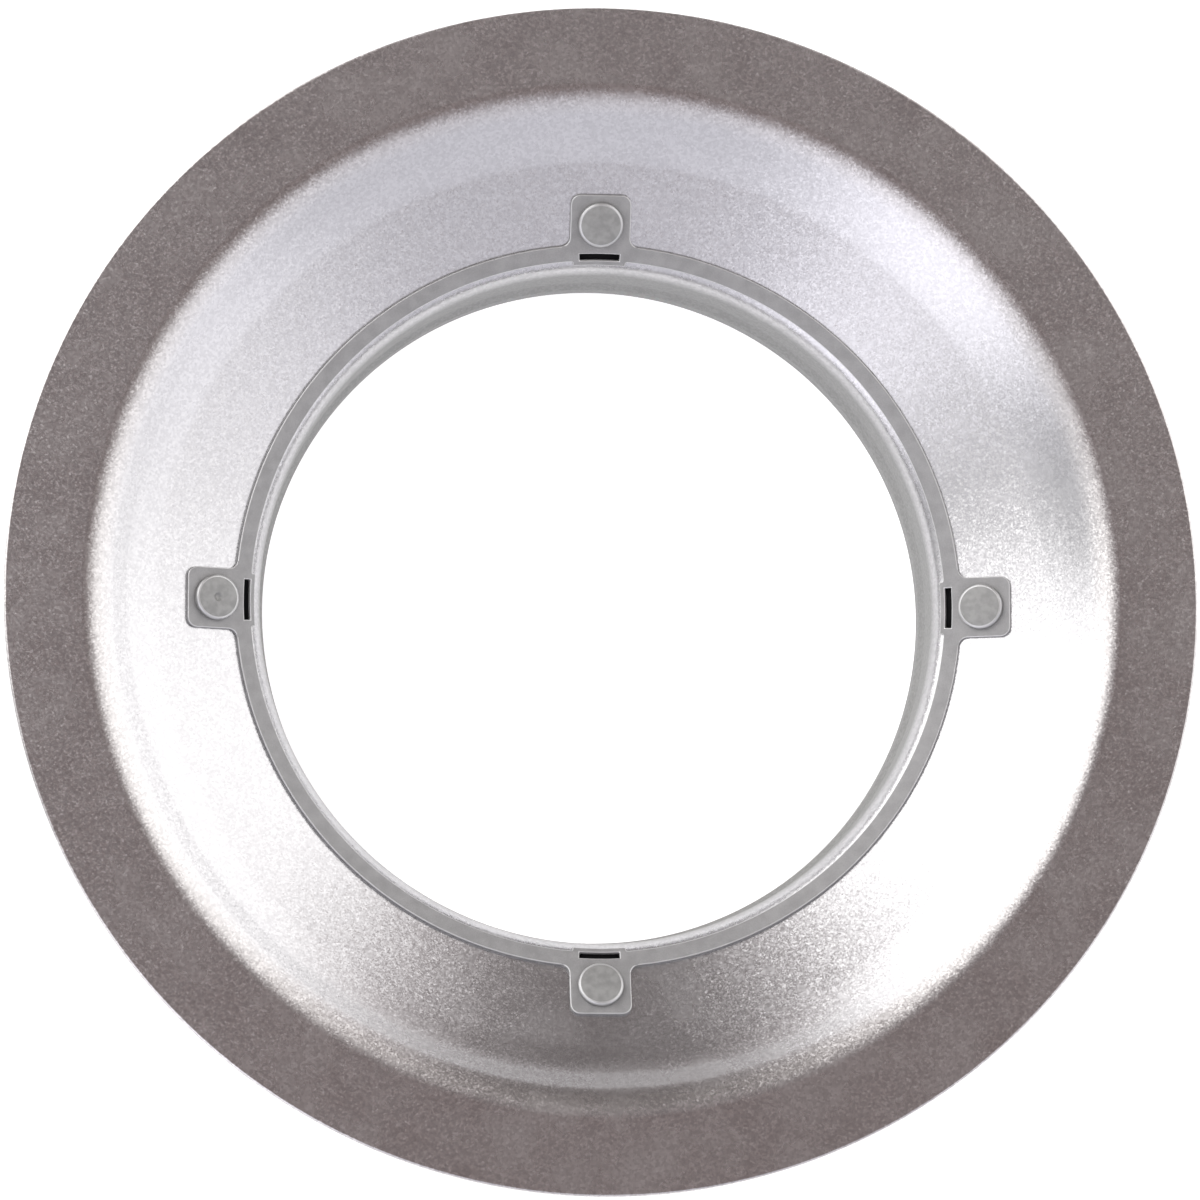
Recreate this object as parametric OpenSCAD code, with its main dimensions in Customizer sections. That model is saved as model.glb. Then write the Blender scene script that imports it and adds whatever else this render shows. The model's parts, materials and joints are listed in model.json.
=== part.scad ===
// Softbox adapter ring: a dished sheet-metal flange with a short neck, and a thin
// lock ring with ears and catch slots that is riveted over the neck's bend.
// Millimetres. Z is the ring's axis, the front face looks up, and the rear edge of
// the neck lies on Z = 0.

/* [Dish] */
// Outside diameter of the dish
rim_d = 144; // [138:1:175]
// Thickness of the dish's sheet
dish_t = 1; // [0.8:0.1:1.2]
// Width of the flat outer flange, up to the corner of the fold
flange_w = 11.4; // [9.6:0.1:13]
// How far the steep wall inside the flange runs towards the axis
wall_run = 4.9; // [4.6:0.1:6.6]
// How deep the steep wall is
wall_drop = 4.1; // [3.6:0.05:5]
// How deep the shallow cone is
cone_drop = 5.4; // [4.4:0.05:6.4]
// Front-face radius of the fold between flange and steep wall
fold_r = 6; // [5:0.1:6.2]
// Front-face radius of the hollow bend between steep wall and cone
hollow_r = 13.5; // [11:0.5:14]

/* [Neck] */
// Inside diameter of the neck
neck_d = 82.2; // [68:0.1:86]
// Height from the neck's rear edge to the corner where the cone would meet the neck
neck_h = 11.5; // [9.5:0.5:16]
// Front-face radius of the bend from cone to neck
neck_bend_r = 3; // [2.4:0.1:3.6]
// How far the rear end of the neck is swaged inwards
swage_in = 0.6; // [0.55:0.05:0.75]
// Height of the swaged step
swage_h = 1.6; // [1.3:0.1:2]
// Height of the straight land below the step
land_h = 2.4; // [2:0.1:3]

/* [Lock ring] */
// Thickness of the lock ring's sheet
ring_t = 0.5; // [0.4:0.05:0.5]
// Distance from the neck's bore to the band's inner edge, seen from the front
band_set = 1.15; // [0.95:0.05:1.4]
// Width of the band, seen from the front
band_w = 1.85; // [1.55:0.05:2.25]
// Width of each ear
ear_w = 7.4; // [6.6:0.1:8.9]
// How far each ear reaches beyond the band
ear_l = 5.8; // [5.3:0.1:7]
// Radius of an ear's outer corners
ear_corner_r = 1.2; // [0.8:0.1:1.5]
// Radius of the fillets at an ear's root
ear_root_r = 1; // [0.6:0.1:1.4]
// Width of the tabs that close the catch slots towards the axis
tab_w = 6.3; // [5.8:0.1:7.2]
// How far each tab reaches inwards beyond the band, seen from the front
tab_reach = 0.45; // [0.35:0.05:0.55]
// Length of each catch slot
slot_l = 4.9; // [4.1:0.1:5.4]
// Distance from the band's inner edge to a catch slot, seen from the front
slot_set = 0.1; // [0.05:0.05:0.2]
// Opening of each catch slot, seen from the front
slot_w = 0.75; // [0.6:0.05:0.9]
// Depth of the coined pocket in the dish behind each slot
pocket_d = 0.55; // [0.4:0.05:0.55]

/* [Rivets] */
// Shank diameter
shank_d = 3; // [2.5:0.1:3.6]
// Diameter of the low front head
head_d = 5.5; // [4.6:0.1:5.8]
// Height of the front head
head_h = 0.8; // [0.6:0.1:1]
// Diameter of the head formed behind the dish
tail_d = 4.8; // [4.4:0.1:5.4]
// Height of the head formed behind the dish
tail_h = 1; // [0.8:0.1:1.2]
// Distance from the band's outer edge to the rivet's centre
rivet_set = 2.6; // [2.4:0.1:3]

/* [Clearances] */
// Gap between the lock ring and the dish
ring_gap = 0.03; // [0.02:0.01:0.05]
// Radial gap between a rivet's shank and its holes
shank_gap = 0.04; // [0.02:0.01:0.08]
// Gap under a rivet's heads
head_gap = 0.05; // [0.04:0.01:0.08]
// Room around a catch slot in the pocket behind it
pocket_gap = 0.35; // [0.2:0.05:0.4]

/* [Hidden] */
$fn = 180;
ear_count = 4;
bend_steps = 8;
small_fn = 48;
past_end = 1;
overlap = 0.2;

rim_r = rim_d / 2;
neck_r = neck_d / 2;
mouth_r = neck_r - swage_in;
fold_corner_r = rim_r - flange_w;
hollow_corner_r = fold_corner_r - wall_run;
hollow_corner_z = neck_h + cone_drop;
total_h = hollow_corner_z + wall_drop;
cone_angle = atan(cone_drop / (hollow_corner_r - neck_r));
swage_z = land_h + swage_h;
band_in_r = neck_r + band_set;
band_out_r = band_in_r + band_w;
ear_end_r = band_out_r + ear_l;
slot_in_r = band_in_r + slot_set;
rivet_r = band_out_r + rivet_set;
swage_bend_r = 1.5 * dish_t;

// Height of the cone's front face at a radius
function cone_z(r) = neck_h + (r - neck_r) * tan(cone_angle);

// Front-face corners of the dish, from the rim inwards and down the neck
dish_corners = [
    [rim_r, total_h],
    [fold_corner_r, total_h],
    [hollow_corner_r, hollow_corner_z],
    [neck_r, neck_h],
    [neck_r, swage_z],
    [mouth_r, land_h],
    [mouth_r, 0]
];
dish_bends = [0, fold_r, hollow_r, neck_bend_r, swage_bend_r, swage_bend_r, 0];

// The lock ring follows the same front face, from beyond the ears' ends into the neck
ring_corners = [
    [ear_end_r + past_end, cone_z(ear_end_r + past_end)],
    [neck_r, neck_h],
    [neck_r, swage_z]
];
ring_bends = [0, neck_bend_r, 0];

// Heading of the path's stretch from corner i to the next one, in degrees
function heading(c, i) = atan2(c[i + 1].y - c[i].y, c[i + 1].x - c[i].x);

// An angle brought into -180..180
function wrap(a) = a > 180 ? a - 360 : a < -180 ? a + 360 : a;

// Direction of travel, and the front side's normal, at a heading
function along(h) = [cos(h), sin(h)];
function front(h) = [sin(h), -cos(h)];

// Points of the bend of front radius r at corner i, offset by d to the front side
function bend(c, r, i, d) =
    let (h = heading(c, i - 1), turn = wrap(heading(c, i) - h), side = sign(turn))
    let (start = c[i] - along(h) * r * tan(abs(turn) / 2))
    let (centre = start - side * r * front(h))
    [for (k = [0 : bend_steps]) centre + side * (r + side * d) * front(h + turn * k / bend_steps)];

// The whole path at an offset of d to the front side
function face(c, radii, d) = concat(
    [c[0] + d * front(heading(c, 0))],
    [for (i = [1 : len(c) - 2]) each bend(c, radii[i], i, d)],
    [c[len(c) - 1] + d * front(heading(c, len(c) - 2))]
);

function backwards(points) = [for (i = [len(points) - 1 : -1 : 0]) points[i]];

// Sheet between two offsets of a path, turned about the axis
module spun_sheet(corners, radii, back, front) {
    rotate_extrude()
        polygon(concat(face(corners, radii, front), backwards(face(corners, radii, back))));
}

// Places its children at each ear
module at_ears() {
    for (i = [0 : ear_count - 1]) {
        rotate([0, 0, i * 360 / ear_count])
            children();
    }
}

// Places its children on the cone's front face at the rivets' radius, square to it
module on_cone() {
    translate([rivet_r, 0, cone_z(rivet_r)])
        rotate([0, -cone_angle, 0])
            children();
}

module rivet_hole() {
    on_cone()
        translate([0, 0, -2 * dish_t])
            cylinder(h = 4 * dish_t, r = shank_d / 2 + shank_gap, $fn = small_fn);
}

// Pocket behind a catch slot, level with the middle of the slot
module catch_pocket() {
    slot_mid_r = slot_in_r + slot_w / 2;
    lean = asin((neck_r + neck_bend_r - slot_mid_r) / neck_bend_r);
    bend_centre_z = neck_h - neck_bend_r * tan((90 - cone_angle) / 2);
    translate([slot_mid_r, 0, bend_centre_z + neck_bend_r * cos(lean)])
        rotate([0, -lean, 0])
            translate([-slot_w / 2 - pocket_gap, -slot_l / 2 - pocket_gap, -pocket_d])
                cube([slot_w + 2 * pocket_gap, slot_l + 2 * pocket_gap, 2 * pocket_d]);
}

// Outline of one ear, with round outer corners
module ear_outline() {
    translate([0, -ear_w / 2])
        square([ear_end_r - ear_corner_r, ear_w]);
    translate([0, -ear_w / 2 + ear_corner_r])
        square([ear_end_r, ear_w - 2 * ear_corner_r]);
    for (side = [-1, 1]) {
        translate([ear_end_r - ear_corner_r, side * (ear_w / 2 - ear_corner_r)])
            circle(r = ear_corner_r, $fn = small_fn);
    }
}

// Root of one ear, widened by fillets to the band's outer edge
module root_outline() {
    y = ear_w / 2 + ear_root_r;
    x = sqrt(pow(band_out_r + ear_root_r, 2) - y * y);
    touch = [x, y] * band_out_r / (band_out_r + ear_root_r);
    inner_x = touch.x - band_w / 2;
    difference() {
        polygon([
            [inner_x, -touch.y], [touch.x, -touch.y], [x, -y],
            [x, y], [touch.x, touch.y], [inner_x, touch.y]
        ]);
        for (side = [-1, 1]) {
            translate([x, side * y])
                circle(r = ear_root_r, $fn = small_fn);
        }
    }
}

// Outline of the lock ring, seen from the front
module ring_outline() {
    difference() {
        union() {
            circle(r = band_out_r);
            at_ears() {
                ear_outline();
                root_outline();
            }
        }
        circle(r = band_in_r);
    }
    at_ears()
        translate([band_in_r - tab_reach, -tab_w / 2])
            square([tab_reach + overlap, tab_w]);
}

module catch_slot() {
    translate([slot_in_r, -slot_l / 2, neck_h - neck_bend_r])
        cube([slot_w, slot_l, 3 * neck_bend_r]);
}

module dish() {
    color("silver")
        difference() {
            spun_sheet(dish_corners, dish_bends, -dish_t, 0);
            at_ears() {
                rivet_hole();
                catch_pocket();
            }
        }
}

module lock_ring() {
    color("darkgray")
        difference() {
            intersection() {
                spun_sheet(ring_corners, ring_bends, ring_gap, ring_gap + ring_t);
                linear_extrude(height = total_h)
                    ring_outline();
            }
            at_ears() {
                rivet_hole();
                catch_slot();
            }
        }
}

// Low round head: a straight edge and a domed top, standing on Z = 0
module domed_head(d, h) {
    edge_h = 0.4 * h;
    dome_h = h - edge_h;
    dome_r = (pow(d / 2, 2) + pow(dome_h, 2)) / (2 * dome_h);
    cylinder(h = edge_h, d = d, $fn = small_fn);
    intersection() {
        cylinder(h = h, d = d, $fn = small_fn);
        translate([0, 0, h - dome_r])
            sphere(r = dome_r, $fn = small_fn);
    }
}

module rivet(i) {
    head_z = ring_gap + ring_t + head_gap;
    tail_z = -dish_t - head_gap;
    color("lightgray")
        rotate([0, 0, (i - 1) * 360 / ear_count])
            on_cone() {
                translate([0, 0, tail_z])
                    cylinder(h = head_z - tail_z, d = shank_d, $fn = small_fn);
                translate([0, 0, head_z])
                    domed_head(head_d, head_h);
                translate([0, 0, tail_z])
                    mirror([0, 0, 1])
                        domed_head(tail_d, tail_h);
            }
}

dish();
lock_ring();
for (i = [1 : ear_count]) {
    rivet(i);
}
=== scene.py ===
import json
import math

import bmesh
import bpy
from mathutils import Matrix, Vector


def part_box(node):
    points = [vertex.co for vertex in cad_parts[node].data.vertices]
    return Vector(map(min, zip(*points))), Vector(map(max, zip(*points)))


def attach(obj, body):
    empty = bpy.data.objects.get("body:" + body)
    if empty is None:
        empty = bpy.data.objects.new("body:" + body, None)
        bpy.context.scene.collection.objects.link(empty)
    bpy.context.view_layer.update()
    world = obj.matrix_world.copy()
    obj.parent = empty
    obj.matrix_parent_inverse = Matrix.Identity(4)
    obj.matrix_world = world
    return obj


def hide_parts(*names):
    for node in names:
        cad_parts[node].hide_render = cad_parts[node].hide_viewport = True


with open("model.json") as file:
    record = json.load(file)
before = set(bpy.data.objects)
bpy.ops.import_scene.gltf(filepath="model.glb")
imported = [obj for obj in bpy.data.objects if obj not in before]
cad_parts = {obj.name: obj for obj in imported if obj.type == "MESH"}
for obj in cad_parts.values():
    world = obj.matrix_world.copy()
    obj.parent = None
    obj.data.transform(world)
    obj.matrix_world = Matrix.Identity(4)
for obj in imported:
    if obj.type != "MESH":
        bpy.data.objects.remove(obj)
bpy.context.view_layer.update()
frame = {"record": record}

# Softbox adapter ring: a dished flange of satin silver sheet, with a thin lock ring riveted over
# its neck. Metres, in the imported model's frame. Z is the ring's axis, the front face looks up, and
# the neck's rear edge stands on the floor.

MM = 0.001

# ---- Sizes of the dish -----------------------------------------------------------------------------

mounts = {m["name"]: m for m in frame["record"]["mounts"]}

RIM_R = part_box("dish")[1].x
FRONT_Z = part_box("dish")[1].z
MOUTH_R = mounts["mouth"]["dims"]["r_mm"] * MM
EAR_END_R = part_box("lock_ring")[1].x

DISH_T = 1.0 * MM
FLANGE_W = 11.4 * MM
WALL_RUN = 4.9 * MM
WALL_DROP = 4.1 * MM
CONE_DROP = 5.4 * MM
SWAGE_IN = 0.6 * MM
LAND_H = 2.4 * MM
SWAGE_H = 1.6 * MM
FOLD_R = 6.0 * MM
HOLLOW_R = 13.5 * MM
NECK_BEND_R = 3.0 * MM
SWAGE_BEND_R = 1.5 * MM

NECK_R = MOUTH_R + SWAGE_IN
FOLD_CORNER_R = RIM_R - FLANGE_W
HOLLOW_CORNER_R = FOLD_CORNER_R - WALL_RUN
HOLLOW_Z = FRONT_Z - WALL_DROP
NECK_Z = HOLLOW_Z - CONE_DROP
CONE_SLOPE = CONE_DROP / (HOLLOW_CORNER_R - NECK_R)
CONE_ANGLE = math.atan(CONE_SLOPE)
BEND_TURN = math.pi / 2 - CONE_ANGLE
BEND_CENTRE_R = NECK_R + NECK_BEND_R
BEND_CENTRE_Z = NECK_Z - NECK_BEND_R * math.tan(BEND_TURN / 2)

# ---- Sizes of the lock ring ------------------------------------------------------------------------

RING_T = 0.5 * MM
RING_GAP = 0.03 * MM
BAND_W = 1.85 * MM
EAR_L = 5.8 * MM
EAR_W = 7.4 * MM
EAR_CORNER_R = 1.2 * MM
EAR_ROOT_R = 1.0 * MM
TAB_W = 6.3 * MM
TAB_REACH = 0.45 * MM
TAB_CORNER_R = 0.2 * MM
SLOT_L = 4.9 * MM
SLOT_W = 0.75 * MM
SLOT_SET = 0.1 * MM
POCKET_D = 0.55 * MM
POCKET_ROOM = 0.35 * MM
BAND_OUT_R = EAR_END_R - EAR_L
BAND_IN_R = BAND_OUT_R - BAND_W
SLOT_IN_R = BAND_IN_R + SLOT_SET
POCKET_IN_R = SLOT_IN_R - POCKET_ROOM
POCKET_OUT_R = SLOT_IN_R + SLOT_W + POCKET_ROOM
POCKET_LEAN = math.asin((BEND_CENTRE_R - SLOT_IN_R - SLOT_W / 2) / NECK_BEND_R)
EAR_COUNT = 4

# The pressed ring's front face: round the bend, and where the cone's part of it begins
RING_FACE_R = NECK_BEND_R + RING_GAP + RING_T
RING_BEND_L = RING_FACE_R * BEND_TURN
RING_CONE_R = BEND_CENTRE_R - RING_FACE_R * math.cos(BEND_TURN)
RING_CONE_Z = BEND_CENTRE_Z + RING_FACE_R * math.sin(BEND_TURN)

# ---- Sizes of the rivets ---------------------------------------------------------------------------

SHANK_R = 1.5 * MM
HEAD_R = 2.75 * MM
HEAD_H = 0.8 * MM
HEAD_CROWN = 0.08 * MM
HEAD_SHOULDER = 0.34 * MM
TAIL_R = 2.4 * MM
TAIL_H = 1.0 * MM
TAIL_FLAT_R = 0.6 * TAIL_R
TAIL_EDGE_H = 0.4 * TAIL_H
TAIL_CROWN_ROUND = 1.2 * MM
TAIL_SHOULDER = 0.4 * MM
HEAD_GAP = 0.05 * MM
RIVET_SET = 2.6 * MM
RIVET_R = BAND_OUT_R + RIVET_SET
PIT_R = 0.55 * MM
PIT_D = 0.3 * MM
PIT_FLOOR_R = 0.5 * PIT_R
PIT_LIP = 0.1 * MM
PIT_FLOOR_ROUND = 0.15 * MM
PITTED_RIVET = 3

# ---- How finely the shapes are cut, and how their edges are rounded --------------------------------

AROUND = 360
RIVET_AROUND = 64
BEND_STEPS = 12
CORNER_STEPS = 6
RIVET_STEPS = 5
SPIN_MERGE = 0.001 * MM
CUT_MERGE = 0.0005 * MM
SEAM_MERGE = 0.005 * MM
DISH_EDGE = 0.3 * MM
DISH_EDGE_STEPS = 4
RING_EDGE = 0.11 * MM
RING_EDGE_STEPS = 3
SHARP = math.radians(50)
# How much of a face's normal has to point up for it to belong to the front
FRONT_FACING = 0.3
SHOULDER_FACING = 0.1


# ---- Shaders ---------------------------------------------------------------------------------------

class Wire:
    """One output of a node. Arithmetic on it adds Math nodes to its tree."""

    def __init__(self, tree, socket=None):
        self.tree = tree
        self.socket = socket

    def node(self, kind, settings=None, inputs=None, out=0):
        """Adds a node of a type: its settings first, then the values or links of its sockets."""
        made = self.tree.nodes.new(kind)
        for name, value in (settings or {}).items():
            setattr(made, name, value)
        for name, value in (inputs or {}).items():
            if isinstance(value, Wire):
                self.tree.links.new(value.socket, made.inputs[name])
            else:
                made.inputs[name].default_value = value
        return Wire(self.tree, made.outputs[out])

    def math(self, operation, *values):
        return self.node("ShaderNodeMath", {"operation": operation}, dict(enumerate(values)))

    def __add__(self, other):
        return self.math("ADD", self, other)

    def __sub__(self, other):
        return self.math("SUBTRACT", self, other)

    def __rsub__(self, other):
        return self.math("SUBTRACT", other, self)

    def __mul__(self, other):
        return self.math("MULTIPLY", self, other)

    __radd__ = __add__
    __rmul__ = __mul__

    def vector(self, operation, *values, out=0):
        return self.node(
            "ShaderNodeVectorMath", {"operation": operation}, dict(enumerate(values)), out
        )

    def scaled(self, amount):
        """This colour or vector times a value."""
        return self.node(
            "ShaderNodeVectorMath", {"operation": "SCALE"}, {0: self, "Scale": amount}
        )

    def towards(self, way):
        """How far this vector goes along a direction."""
        return self.vector("DOT_PRODUCT", self, way, out="Value")

    def rise(self, low, high):
        """0 below low and 1 above high, with a smooth step between them."""
        return self.node(
            "ShaderNodeMapRange",
            {"interpolation_type": "SMOOTHSTEP"},
            {"Value": self, "From Min": low, "From Max": high},
        )

    def blend(self, first, second):
        """Mixes two colours by this factor."""
        sockets = {0: self, 6: colour(first), 7: colour(second)}
        return self.node("ShaderNodeMix", {"data_type": "RGBA"}, sockets, out=2)


def colour(value):
    return value if isinstance(value, Wire) else (*value, 1.0)


def new_finish(name):
    """A material with its node tree, and where its patterns are read."""
    material = bpy.data.materials.new(name)
    material.use_nodes = True
    tree = material.node_tree
    tree.nodes.clear()
    start = Wire(tree)
    place = start.node("ShaderNodeTexCoord", out="Object")
    return material, start, place


def noise(place, size, detail=2.0):
    return place.node(
        "ShaderNodeTexNoise", None, {"Vector": place, "Scale": 1 / size, "Detail": detail}
    )


def cells(place, size):
    """A random colour for each small cell."""
    return place.node("ShaderNodeTexVoronoi", None, {"Vector": place, "Scale": 1 / size}, "Color")


def tilted(place, cell_colour, amount):
    """The surface's normal, leant a little a different way in each cell."""
    lean = cell_colour.vector("SUBTRACT", cell_colour, (0.5, 0.5, 0.5)).scaled(amount)
    straight = place.node("ShaderNodeNewGeometry", out="Normal")
    leant = straight.vector("ADD", straight, lean)
    return leant.vector("NORMALIZE", leant)


def bump(height, distance, normal=None):
    sockets = {"Height": height, "Distance": distance}
    if normal:
        sockets["Normal"] = normal
    return height.node("ShaderNodeBump", None, sockets)


def surface(start, **sockets):
    """Ends a finish in a Principled shader, with its sockets' values or links."""
    named = {name.replace("_", " "): value for name, value in sockets.items()}
    shader = start.node("ShaderNodeBsdfPrincipled", None, named)
    output = start.tree.nodes.new("ShaderNodeOutputMaterial")
    start.tree.links.new(shader.socket, output.inputs["Surface"])


SILVER_DARK = (0.50, 0.495, 0.505)
SILVER_LIGHT = (0.58, 0.575, 0.585)
FLANGE_DARK = (0.46, 0.445, 0.442)
FLANGE_LIGHT = (0.61, 0.592, 0.588)
# Neck greys: dull overspray, darkened as painted shade on the inward-facing wall
OVERSPRAY_SHADE_DARK = (0.235, 0.235, 0.23)
OVERSPRAY_SHADE_LIGHT = (0.285, 0.285, 0.278)
# Near-black pocket colours: painted shade in the gaps under the catch slots
POCKET_SHADE_DARK = (0.008, 0.008, 0.009)
POCKET_SHADE_LIGHT = (0.02, 0.02, 0.021)
ZINC_DARK = (0.245, 0.243, 0.243)
ZINC_LIGHT = (0.325, 0.322, 0.322)
# Rubbed edge colour of the plate: wear, and a painted highlight where the edges catch the light
ZINC_WEAR_AND_HIGHLIGHT = (0.55, 0.55, 0.55)
RIVET_DARK = (0.235, 0.235, 0.23)
RIVET_LIGHT = (0.305, 0.305, 0.297)
# Rubbed shoulder colour of the rivets: wear, and a painted highlight on the head's rim
RIVET_WEAR_AND_HIGHLIGHT = (0.5, 0.5, 0.5)
FLOOR_DARK = (0.72, 0.72, 0.72)
FLOOR_LIGHT = (0.76, 0.76, 0.76)

# Paint: the size of its flakes and clumps of flakes, how far they lean, and its cloudiness
FLAKE = 0.17 * MM
CLUMP = 1.7 * FLAKE
FLAKE_LEAN = 0.075
CLUMP_LEAN = 0.05
CLOUD = 6 * MM
SPRAY_GRAIN = 0.5 * MM
SPRAY_RELIEF = 0.005 * MM
# Heights between which the paint thins out into the neck and its colour darkens as painted shade, and how
# ragged that edge is
THIN_COAT_FULL_SHADE_Z = BEND_CENTRE_Z - 0.3 * MM
FULL_COAT_NO_SHADE_Z = BEND_CENTRE_Z + 2.2 * MM
COAT_SHADE_RAGGED = 0.4 * MM
# Heights between which the flange's own coat begins
FLANGE_COAT_Z = FRONT_Z - 1.5 * MM
FLANGE_FULL_Z = FRONT_Z - 0.2 * MM
# Plating: how deep its mottle and grain are, and how deep the bumps in the pockets' painted shade are
PLATE_RELIEF = 0.03 * MM
POCKET_SHADE_RELIEF = 0.02 * MM


def satin_silver():
    """Sprayed silver: fine flakes that each lean their own way, thinning to dull, rough overspray in the
    neck, whose darker grey is painted shade on the inward-facing wall.
    """
    material, start, place = new_finish("satin_silver_paint")
    mottle = noise(place, CLOUD, 3.0)
    flake = cells(place, FLAKE)
    clump = cells(place, CLUMP)
    gleam = clump.node("ShaderNodeSeparateColor", None, {0: clump})
    skin = tilted(place, flake, gleam.rise(0.5, 1.0) * CLUMP_LEAN + FLAKE_LEAN)
    skin = bump(noise(place, SPRAY_GRAIN, 3.0), SPRAY_RELIEF, skin)
    tone = (mottle * 0.25 + gleam * 0.75).rise(0.1, 0.9)
    height = place.towards((0, 0, 1))
    full_coat_unshaded = (height + mottle * COAT_SHADE_RAGGED).rise(THIN_COAT_FULL_SHADE_Z, FULL_COAT_NO_SHADE_Z)
    on_flange = height.rise(FLANGE_COAT_Z, FLANGE_FULL_Z)
    paint = on_flange.blend(
        tone.blend(SILVER_DARK, SILVER_LIGHT), gleam.blend(FLANGE_DARK, FLANGE_LIGHT)
    )
    # The neck's dull overspray: rough, and darkened grey as painted shade on the wall that faces inward
    neck_dull_and_shaded = tone.blend(OVERSPRAY_SHADE_DARK, OVERSPRAY_SHADE_LIGHT)
    surface(
        start,
        Base_Color=full_coat_unshaded.blend(neck_dull_and_shaded, paint),
        Metallic=full_coat_unshaded * 0.85 + 0.15,
        Roughness=0.6 - full_coat_unshaded * 0.37 + mottle * 0.08,
        Normal=skin,
    )
    return material


def painted_pocket_shade():
    """The pocket behind a catch slot: dull and near black, painted shade for the dark gap under the slot.
    """
    material, start, place = new_finish("pocket_shade")
    pocket_shade_noise = noise(place, 0.3 * MM, 3.0)
    surface(
        start,
        Base_Color=pocket_shade_noise.blend(POCKET_SHADE_DARK, POCKET_SHADE_LIGHT),
        Roughness=0.7 + pocket_shade_noise * 0.2,
        Specular_IOR_Level=0.1,
        Normal=bump(pocket_shade_noise, POCKET_SHADE_RELIEF),
    )
    return material


def worn_and_highlit_edges(start):
    """1 on the rounded edges, which are painted brighter: rubbed wear along with a painted highlight where
    the edges catch the light; 0 elsewhere.
    """
    return start.node("ShaderNodeAttribute", {"attribute_name": "wear_and_highlight"}, out="Fac")


def dull_zinc():
    """Dull plated sheet: matt grey, faintly mottled, with fine grain, and rounded edges painted bright as
    rubbed wear and painted highlight.
    """
    material, start, place = new_finish("dull_zinc_plate")
    mottle = noise(place, 1.6 * MM, 4.0)
    grain = noise(place, 0.12 * MM)
    tone = (mottle * 0.6 + grain * 0.4).rise(0.3, 0.7)
    plate = tone.blend(ZINC_DARK, ZINC_LIGHT)
    wear_and_highlight = worn_and_highlit_edges(start)
    surface(
        start,
        Base_Color=wear_and_highlight.blend(plate, ZINC_WEAR_AND_HIGHLIGHT),
        Metallic=wear_and_highlight * 0.4 + 0.4,
        Roughness=0.5 + mottle * 0.16 - wear_and_highlight * 0.15,
        Normal=bump(mottle * 0.7 + grain * 0.3, PLATE_RELIEF),
    )
    return material


def rivet_metal():
    """Rivets: the same plating; the head's rounded shoulder is painted brighter, a painted highlight along
    with wear where the punch has struck.
    """
    material, start, place = new_finish("rivet_plate")
    mottle = noise(place, 0.9 * MM, 4.0)
    wear_and_highlight = worn_and_highlit_edges(start)
    plate = mottle.rise(0.3, 0.7).blend(RIVET_DARK, RIVET_LIGHT)
    surface(
        start,
        Base_Color=wear_and_highlight.blend(plate, RIVET_WEAR_AND_HIGHLIGHT),
        Metallic=wear_and_highlight * 0.4 + 0.4,
        Roughness=0.48 + mottle * 0.16 - wear_and_highlight * 0.15,
        Normal=bump(mottle, PLATE_RELIEF),
    )
    return material


def pale_floor():
    material, start, place = new_finish("pale_floor")
    cloudy = noise(place, 0.2)
    surface(
        start,
        Base_Color=cloudy.blend(FLOOR_DARK, FLOOR_LIGHT),
        Roughness=0.8,
        Emission_Color=(1.0, 1.0, 1.0, 1.0),
        Emission_Strength=0.6,
    )
    return material


# ---- Shapes ----------------------------------------------------------------------------------------

def finished(name, bm, slot, node, *materials):
    """Makes the mesh a piece that stands for a CAD node and rides with it."""
    mesh = bpy.data.meshes.new(name)
    bm.to_mesh(mesh)
    bm.free()
    for material in materials:
        mesh.materials.append(material)
    piece = bpy.data.objects.new(name, mesh)
    bpy.context.scene.collection.objects.link(piece)
    shading = piece.modifiers.new("even_shading", "WEIGHTED_NORMAL")
    shading.keep_sharp = True
    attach(piece, "root")
    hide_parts(node)
    return piece


def smooth(bm):
    """Shades the mesh smooth, apart from its sharp edges."""
    for face in bm.faces:
        face.smooth = True
    for edge in bm.edges:
        edge.smooth = not is_sharp(edge)


def round_corner(bm, corner, radius, turn, segments):
    """Rounds one corner of an outline, given how far the outline turns there."""
    bmesh.ops.bevel(
        bm, geom=[corner], offset=radius * math.tan(turn / 2), offset_type="OFFSET",
        segments=segments, profile=0.5, affect="VERTICES", material=-1,
    )


def is_sharp(edge):
    return len(edge.link_faces) == 2 and edge.calc_face_angle() > SHARP


def mark_wear_and_highlight(bm, faces):
    """Sets the wear-and-highlight value on the faces' own corners, so that it doesn't spread to their
    neighbours; the finishes paint those faces brighter, partly as painted highlight.
    """
    wear_and_highlight = bm.loops.layers.float.new("wear_and_highlight")
    for face in faces:
        for loop in face.loops:
            loop[wear_and_highlight] = 1.0


def soften_edges(bm, edges, offset, segments, clamp=True):
    """Rounds edges, and marks the rounding for the brighter paint of wear and painted highlight."""
    rounding = bmesh.ops.bevel(
        bm, geom=edges, offset=offset, offset_type="OFFSET", segments=segments,
        profile=0.5, affect="EDGES", material=-1, clamp_overlap=clamp,
    )
    mark_wear_and_highlight(bm, rounding["faces"])


def line_turn(before, at, after):
    return (at - before).angle(after - at)


def bent_line(corners, radii, segments):
    """A line through corners in the XZ plane, rounded at each one that has a radius."""
    bm = bmesh.new()
    verts = [bm.verts.new((x, 0, z)) for x, z in corners]
    for first, second in zip(verts, verts[1:]):
        bm.edges.new((first, second))
    points = [v.co.copy() for v in verts]
    for i, radius in radii.items():
        round_corner(bm, verts[i], radius, line_turn(*points[i - 1:i + 2]), segments)
    return bm


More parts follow.
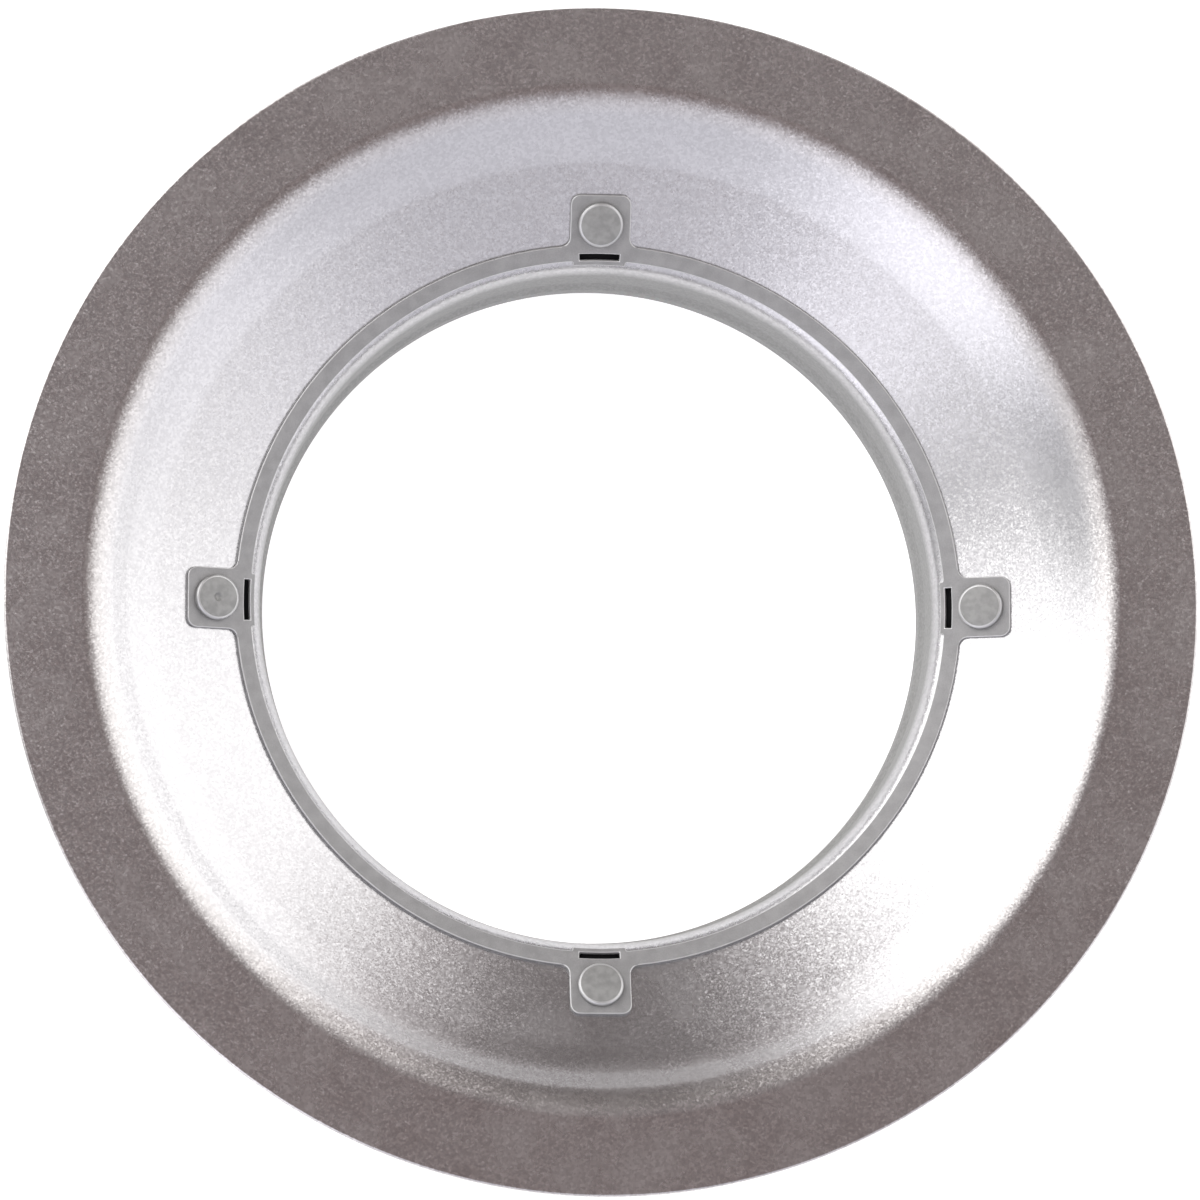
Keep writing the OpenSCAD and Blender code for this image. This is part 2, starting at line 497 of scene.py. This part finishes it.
def spin_full(bm, steps):
    bmesh.ops.spin(
        bm, geom=bm.verts[:] + bm.edges[:], cent=(0, 0, 0), axis=(0, 0, 1),
        angle=2 * math.pi, steps=steps, use_merge=True, use_duplicate=False,
    )
    bmesh.ops.remove_doubles(bm, verts=bm.verts[:], dist=SPIN_MERGE)
    bmesh.ops.recalc_face_normals(bm, faces=bm.faces[:])


def plan_r(point):
    return math.hypot(point.x, point.y)


def face_front(bm):
    """Turns an open skin's faces so that they look to the front."""
    bmesh.ops.recalc_face_normals(bm, faces=bm.faces[:])
    if sum(f.normal.z * f.calc_area() for f in bm.faces) < 0:
        bmesh.ops.reverse_faces(bm, faces=bm.faces[:])


def cone_z(r):
    """Height of the cone's front face at a radius."""
    return NECK_Z + (r - NECK_R) * CONE_SLOPE


def behind_a_slot(face):
    """Whether a face of the dish's front is in the pocket behind one of the catch slots."""
    centre = face.calc_center_median()
    across, along = sorted((abs(centre.x), abs(centre.y)))
    in_reach = POCKET_IN_R < math.hypot(across, along) < POCKET_OUT_R
    return in_reach and across < SLOT_L / 2 + POCKET_ROOM and face.normal.z > FRONT_FACING


def sink_pockets(bm):
    """Presses the pockets into the dish's front face, with the painted shade in them."""
    pockets = [f for f in bm.faces if behind_a_slot(f)]
    grown = bmesh.ops.extrude_face_region(bm, geom=pockets)["geom"]
    bmesh.ops.delete(bm, geom=pockets, context="FACES")
    for item in grown:
        if isinstance(item, bmesh.types.BMVert):
            out = Vector((item.co.x, item.co.y, 0)).normalized()
            square = Vector((0, 0, 1)) * math.cos(POCKET_LEAN) - out * math.sin(POCKET_LEAN)
            item.co -= square * POCKET_D
    floors = [f for f in grown if isinstance(f, bmesh.types.BMFace)]
    walls = [f for floor in floors for e in floor.edges for f in e.link_faces]
    # The pockets' floors and walls take the painted shade
    for face in floors + walls:
        face.material_index = 1


def make_dish(silver, shade):
    """The dish: its front face is spun, given its thickness, and its edges are rounded."""
    bm = bent_line(
        [
            (RIM_R, FRONT_Z),
            (FOLD_CORNER_R, FRONT_Z),
            (HOLLOW_CORNER_R, HOLLOW_Z),
            (POCKET_OUT_R, cone_z(POCKET_OUT_R)),
            (NECK_R, NECK_Z),
            (NECK_R, LAND_H + SWAGE_H),
            (MOUTH_R, LAND_H),
            (MOUTH_R, 0),
        ],
        {1: FOLD_R, 2: HOLLOW_R, 4: NECK_BEND_R, 5: SWAGE_BEND_R, 6: SWAGE_BEND_R},
        BEND_STEPS,
    )
    spin_full(bm, AROUND)
    face_front(bm)
    bmesh.ops.solidify(bm, geom=bm.faces[:], thickness=DISH_T)
    soften_edges(bm, [e for e in bm.edges if is_sharp(e)], DISH_EDGE, DISH_EDGE_STEPS)
    sink_pockets(bm)
    smooth(bm)
    return finished("dish_shell", bm, "satin_silver", "dish", silver, shade)


def along_sheet(r):
    """How far along the lock ring's sheet a plan radius lies, counted from where the cone's part begins."""
    if r > RING_CONE_R:
        return (r - RING_CONE_R) / math.cos(CONE_ANGLE)
    return RING_FACE_R * (math.acos((BEND_CENTRE_R - r) / RING_FACE_R) - BEND_TURN)


def sheet_station(s):
    """Radius and height of the lock ring's front face, that far along its sheet."""
    if s > 0:
        return RING_CONE_R + s * math.cos(CONE_ANGLE), RING_CONE_Z + s * math.sin(CONE_ANGLE)
    turn = max(BEND_TURN + s / RING_FACE_R, 0)
    below = min(s + RING_BEND_L, 0)
    r = BEND_CENTRE_R - RING_FACE_R * math.cos(turn)
    return r, BEND_CENTRE_Z + RING_FACE_R * math.sin(turn) + below


def pressed(point):
    """Where a point of the flat blank lies once the lock ring is pressed: ears stay straight-sided."""
    r, z = sheet_station(point.x)
    around = point.y / max(r, BAND_OUT_R)
    on_ear = min(max((r - BAND_OUT_R) / EAR_L, 0), 1)
    x = r * (math.cos(around) + on_ear * (1 - math.cos(around)))
    y = r * math.sin(around)
    return Vector((x, y, z + (math.hypot(x, y) - r) * CONE_SLOPE))


def everything(bm):
    return bm.verts[:] + bm.edges[:] + bm.faces[:]


def cut_across(bm, at, way):
    bmesh.ops.bisect_plane(bm, geom=everything(bm), plane_co=at, plane_no=way, dist=CUT_MERGE)


def make_lock_ring(zinc):
    """The lock ring: a quarter of its blank is cut, punched and pressed, and repeated round the axis."""
    quarter = BAND_OUT_R * math.pi / EAR_COUNT
    band_in = along_sheet(BAND_IN_R)
    band_out = along_sheet(BAND_OUT_R)
    ear_end = along_sheet(EAR_END_R)
    tab_end = along_sheet(BAND_IN_R - TAB_REACH)
    tab_half = TAB_W / 2 * BAND_OUT_R / (NECK_R - RING_GAP)
    ear_half = EAR_W / 2
    bm = bmesh.new()
    corners = [
        bm.verts.new((x, y, 0))
        for x, y in (
            (band_in, -quarter), (band_out, -quarter), (band_out, -ear_half), (ear_end, -ear_half),
            (ear_end, ear_half), (band_out, ear_half), (band_out, quarter), (band_in, quarter),
            (band_in, tab_half), (tab_end, tab_half), (tab_end, -tab_half), (band_in, -tab_half),
        )
    ]
    bm.faces.new(corners)
    for i, radius in {
        2: EAR_ROOT_R, 3: EAR_CORNER_R, 4: EAR_CORNER_R, 5: EAR_ROOT_R,
        8: TAB_CORNER_R, 9: TAB_CORNER_R, 10: TAB_CORNER_R, 11: TAB_CORNER_R,
    }.items():
        round_corner(bm, corners[i], radius, math.pi / 2, CORNER_STEPS)
    slot_in = along_sheet(SLOT_IN_R)
    slot_out = along_sheet(SLOT_IN_R + SLOT_W)
    slot_half = SLOT_L / 2 * BAND_OUT_R / (SLOT_IN_R + SLOT_W / 2)
    bend_cuts = [-RING_BEND_L * i / BEND_STEPS for i in range(BEND_STEPS + 1)]
    for at in [slot_in, slot_out, band_out] + bend_cuts:
        cut_across(bm, (at, 0, 0), (1, 0, 0))
    steps = AROUND // EAR_COUNT
    side_cuts = [quarter * (2 * i / steps - 1) for i in range(1, steps)]
    for at in [-slot_half, slot_half] + side_cuts:
        cut_across(bm, (0, at, 0), (0, 1, 0))
    punched = []
    for face in bm.faces:
        centre = face.calc_center_median()
        if slot_in < centre.x < slot_out and abs(centre.y) < slot_half:
            punched.append(face)
    bmesh.ops.delete(bm, geom=punched, context="FACES")
    for vert in bm.verts:
        vert.co = pressed(vert.co)
    bmesh.ops.spin(
        bm, geom=everything(bm), cent=(0, 0, 0), axis=(0, 0, 1),
        angle=2 * math.pi * (EAR_COUNT - 1) / EAR_COUNT, steps=EAR_COUNT - 1, use_duplicate=True,
    )
    bmesh.ops.remove_doubles(bm, verts=bm.verts[:], dist=SEAM_MERGE)
    face_front(bm)
    bmesh.ops.solidify(bm, geom=bm.faces[:], thickness=RING_T)
    front_edges = [
        e for e in bm.edges
        if is_sharp(e) and max(f.normal.z for f in e.link_faces) > FRONT_FACING
    ]
    soften_edges(bm, front_edges, RING_EDGE, RING_EDGE_STEPS, clamp=False)
    smooth(bm)
    return finished("lock_ring_plate", bm, "dull_zinc", "lock_ring", zinc)


def make_rivet(number, plating, pitted=False):
    """A rivet: a low round head in front, pitted or plain, a shank, and a head formed behind."""
    head_z = RING_GAP + RING_T + HEAD_GAP
    tail_z = -DISH_T - HEAD_GAP
    crown_z = head_z + HEAD_H
    corners = [
        (0, tail_z - TAIL_H),
        (TAIL_FLAT_R, tail_z - TAIL_H),
        (TAIL_R, tail_z - TAIL_EDGE_H),
        (TAIL_R, tail_z),
        (SHANK_R, tail_z),
        (SHANK_R, head_z),
        (HEAD_R, head_z),
        (HEAD_R, crown_z - HEAD_CROWN),
    ]
    rounded = {1: TAIL_CROWN_ROUND, 2: TAIL_SHOULDER, 7: HEAD_SHOULDER}
    if pitted:
        pit_z = crown_z - PIT_D
        corners += [(PIT_R, crown_z), (PIT_FLOOR_R, pit_z), (0, pit_z)]
        rounded[8] = PIT_LIP
        rounded[9] = PIT_FLOOR_ROUND
    else:
        corners.append((0, crown_z))
    bm = bent_line(corners, rounded, RIVET_STEPS)
    spin_full(bm, RIVET_AROUND)
    # The head's rounded shoulder is painted brighter: a painted highlight along with wear
    shoulder = [
        face for face in bm.faces
        if plan_r(face.calc_center_median()) > HEAD_R - HEAD_SHOULDER
        and face.normal.z > SHOULDER_FACING
    ]
    mark_wear_and_highlight(bm, shoulder)
    place = (
        Matrix.Rotation((number - 1) * 2 * math.pi / EAR_COUNT, 4, "Z")
        @ Matrix.Translation((RIVET_R, 0, cone_z(RIVET_R)))
        @ Matrix.Rotation(-CONE_ANGLE, 4, "Y")
    )
    bmesh.ops.transform(bm, matrix=place, verts=bm.verts[:])
    smooth(bm)
    name = f"rivet_{number}"
    return finished(name + "_struck", bm, "rivet_metal", name, plating)


# ---- Camera, light and floor -----------------------------------------------------------------------

CAMERA_DISTANCE = 0.75
CAMERA_LEAN = math.radians(9.2)
CAMERA_SIDE = Vector((-0.575, -0.818, 0)).normalized()
VIEW_WIDTH = 144.0 * MM
VIEW_AIM = Vector((-0.72 * MM, -0.65 * MM, FRONT_Z))
SENSOR = 36.0
FLOOR_HALF = 0.6


def make_camera():
    back = CAMERA_SIDE * math.sin(CAMERA_LEAN) + Vector((0, 0, math.cos(CAMERA_LEAN)))
    right = Vector((0, 1, 0)).cross(back).normalized()
    up = back.cross(right)
    data = bpy.data.cameras.new("camera")
    data.sensor_width = SENSOR
    data.lens = SENSOR * CAMERA_DISTANCE / VIEW_WIDTH
    camera = bpy.data.objects.new("camera", data)
    turned = Matrix((right, up, back)).transposed().to_4x4()
    camera.matrix_world = Matrix.Translation(VIEW_AIM + back * CAMERA_DISTANCE) @ turned
    bpy.context.scene.collection.objects.link(camera)
    bpy.context.scene.camera = camera


# Soft panels round the table: azimuth and half width in degrees, and brightness
SOFT_PANELS = (
    (143, 42, 1.8),
    (30, 44, 1.05),
    (222, 28, 0.95),
    (340, 22, 0.5),
)
SIDE_LEVEL = 1.0
# Tints of the side light: cool round one azimuth (and half width), warm elsewhere
WARM_TINT = (1.01, 1.0, 0.995)
COOL_TINT = (0.995, 0.985, 1.06)
COOL = (270, 110)
# A dark gap between two panels, which closes towards the table: azimuth, half width and depth,
# the sines of the elevations between which it opens, and its tint
GAP = (83, 34, 0.82)
GAP_LOW = 0.02
GAP_HIGH = 0.36
GAP_TINT = (1.0, 0.86, 0.84)
# A shallow dip: azimuth, half width and depth
DIP = (190, 20, 0.32)
# A dim ceiling, whose tint goes from cool to warm one way and which brightens another way
CEILING_COOL = (0.176, 0.137, 0.144)
CEILING_WARM = (0.192, 0.137, 0.130)
CEILING_WARM_WAY = (0.5, -0.87, 0)
CEILING_GAIN_WAY = (-0.94, -0.34, 0)
CEILING_WARM_FROM = -0.16
CEILING_WARM_TO = 0.03
CEILING_GAIN_FROM = -0.15
CEILING_GAIN_TO = -0.03
CEILING_LEVEL = 0.97
CEILING_GAIN = 0.22
# Where the ceiling's middle is, and the angles from it between which it gives way to the panels
CEILING_LEAN = math.radians(6)
CEILING_AZIMUTH = math.radians(10)
CEILING_INNER = math.radians(6)
CEILING_OUTER = math.radians(33)


def make_light():
    """Plain studio light: tall soft panels round the table, a gap between two, and a dim ceiling."""
    world = bpy.data.worlds.new("studio_light")
    bpy.context.scene.world = world
    world.use_nodes = True
    tree = world.node_tree
    tree.nodes.clear()
    start = Wire(tree)
    way = start.node("ShaderNodeTexCoord", out="Generated")
    level = way.vector("MULTIPLY", way, (1, 1, 0))
    level = level.vector("NORMALIZE", level)

    def lobe(azimuth, half_width):
        a = math.radians(azimuth)
        near = level.towards((math.cos(a), math.sin(a), 0))
        return near.rise(math.cos(math.radians(half_width)), 1.0)

    panels = SIDE_LEVEL
    height = way.towards((0, 0, 1))
    for azimuth, half_width, gain in SOFT_PANELS:
        panels = lobe(azimuth, half_width) * gain + panels
    gap = lobe(*GAP[:2]) * height.rise(GAP_LOW, GAP_HIGH)
    panels = panels * (1 - gap * GAP[2]) * (1 - lobe(*DIP[:2]) * DIP[2])
    tint = gap.blend(lobe(*COOL).blend(WARM_TINT, COOL_TINT), GAP_TINT)
    side = tint.scaled(panels)
    top = (
        math.sin(CEILING_LEAN) * math.cos(CEILING_AZIMUTH),
        math.sin(CEILING_LEAN) * math.sin(CEILING_AZIMUTH),
        math.cos(CEILING_LEAN),
    )
    overhead = way.towards(top).rise(math.cos(CEILING_OUTER), math.cos(CEILING_INNER))
    warm = way.towards(CEILING_WARM_WAY).rise(CEILING_WARM_FROM, CEILING_WARM_TO)
    lift = way.towards(CEILING_GAIN_WAY).rise(CEILING_GAIN_FROM, CEILING_GAIN_TO)
    ceiling = warm.blend(CEILING_COOL, CEILING_WARM).scaled(lift * CEILING_GAIN + CEILING_LEVEL)
    light = overhead.blend(side, ceiling)
    background = start.node("ShaderNodeBackground", None, {"Color": light, "Strength": 1.0})
    output = tree.nodes.new("ShaderNodeOutputWorld")
    tree.links.new(background.socket, output.inputs["Surface"])


def make_floor():
    bm = bmesh.new()
    bmesh.ops.create_grid(bm, x_segments=1, y_segments=1, size=FLOOR_HALF)
    mesh = bpy.data.meshes.new("floor")
    bm.to_mesh(mesh)
    bm.free()
    mesh.materials.append(pale_floor())
    floor = bpy.data.objects.new("floor", mesh)
    bpy.context.scene.collection.objects.link(floor)


bpy.context.scene.view_settings.view_transform = "Standard"
make_camera()
make_light()
make_floor()
make_dish(satin_silver(), painted_pocket_shade())
make_lock_ring(dull_zinc())
plating = rivet_metal()
for number in range(1, EAR_COUNT + 1):
    make_rivet(number, plating, pitted=number == PITTED_RIVET)
